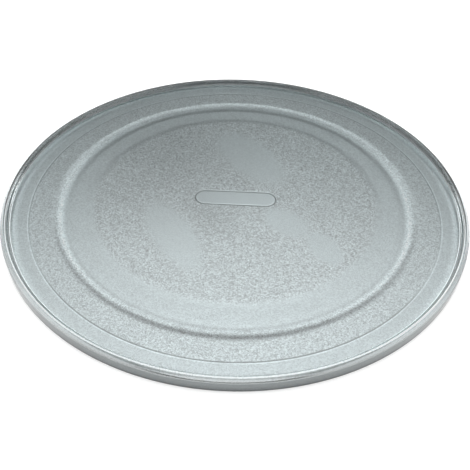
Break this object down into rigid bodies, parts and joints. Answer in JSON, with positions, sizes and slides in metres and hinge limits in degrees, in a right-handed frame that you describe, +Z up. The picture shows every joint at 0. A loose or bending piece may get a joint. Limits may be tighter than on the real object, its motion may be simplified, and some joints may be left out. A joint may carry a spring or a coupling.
{
  "type": "microwave oven turntable plate",
  "caption": "Round pressed-glass plate with a flat top, a low upturned rim, and a stippled underside with a smooth roller track and a locating rib.",
  "frame": {"origin": "on the plate's axis, at the level of the rib's crest that the plate rests on", "axes": "+Z up along the plate's axis; X and Y across the plate, X along the long side of the oval frame in its middle"},
  "size_m": [0.3599, 0.36, 0.0111],
  "materials": {
    "glass": "clear pressed glass with a slight green-grey tint, smooth on top and stippled on the underside"
  },
  "bodies": {
    "root": {"turntable_plate": "glass"}
  },
  "joints": []
}
